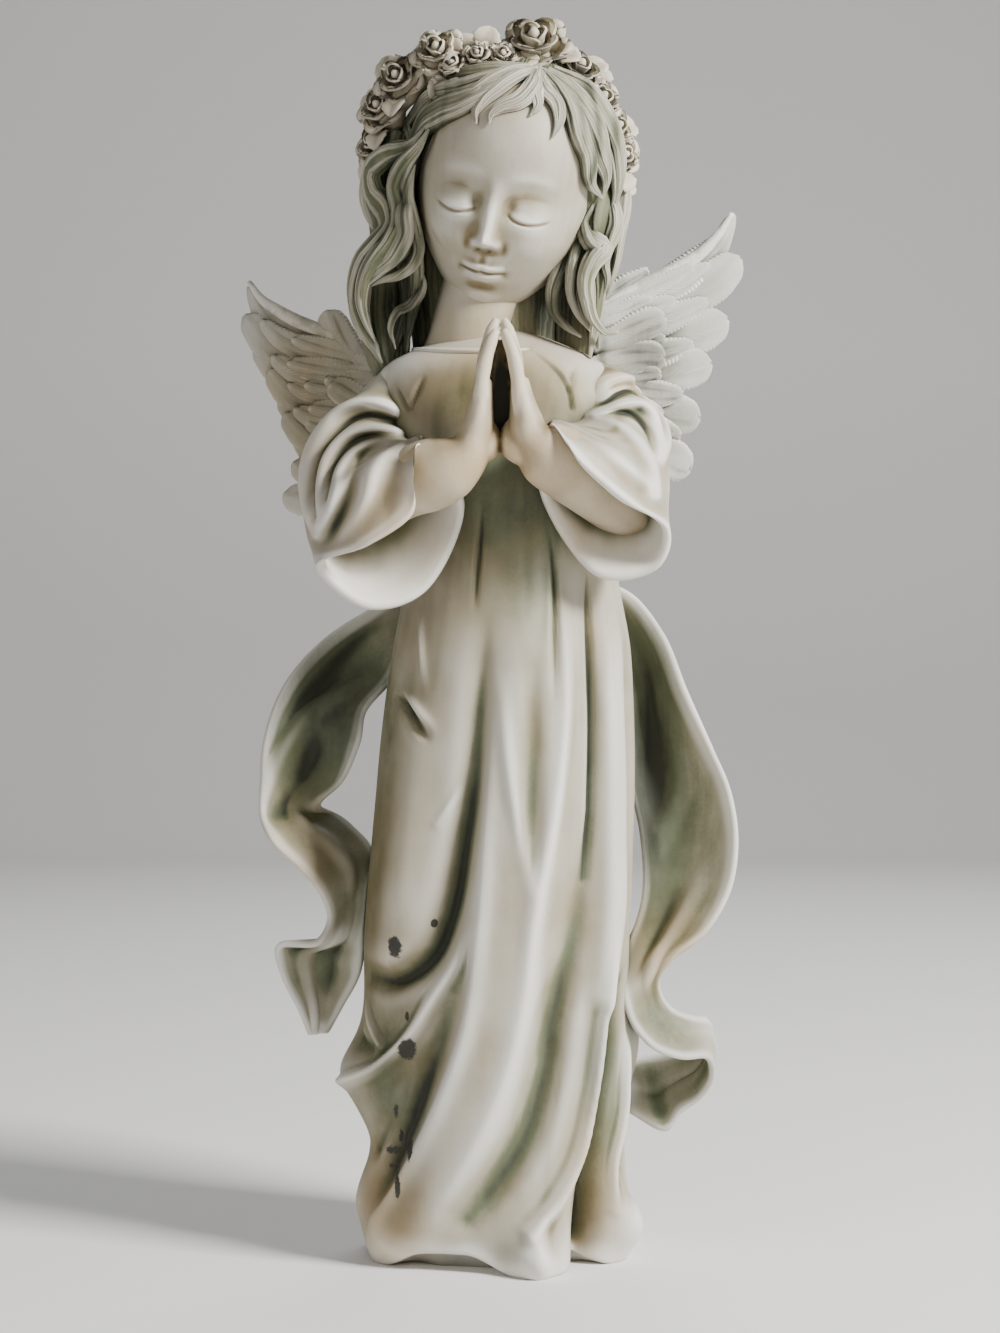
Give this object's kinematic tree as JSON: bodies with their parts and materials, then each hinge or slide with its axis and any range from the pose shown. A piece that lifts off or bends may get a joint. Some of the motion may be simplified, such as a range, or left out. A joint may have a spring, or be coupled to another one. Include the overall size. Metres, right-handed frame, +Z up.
{
  "type": "cemetery angel statue",
  "caption": "Standing praying girl angel in a long draped gown with bell sleeves, rose wreath, small feathered wings and a trailing ribbon at each side.",
  "frame": {"origin": "middle of the flat underside, under the hem of the gown", "axes": "+Z up along the figure, -Y towards the front where the hands are, +X towards the figure's left hand"},
  "size_m": [0.184, 0.1031, 0.4116],
  "materials": {
    "antiqued_resin": "matt cast resin painted as old stone: cream on the raised parts, grey-green and tan wash in the recesses"
  },
  "bodies": {
    "root": {"angel_statue": "antiqued_resin"}
  },
  "joints": []
}
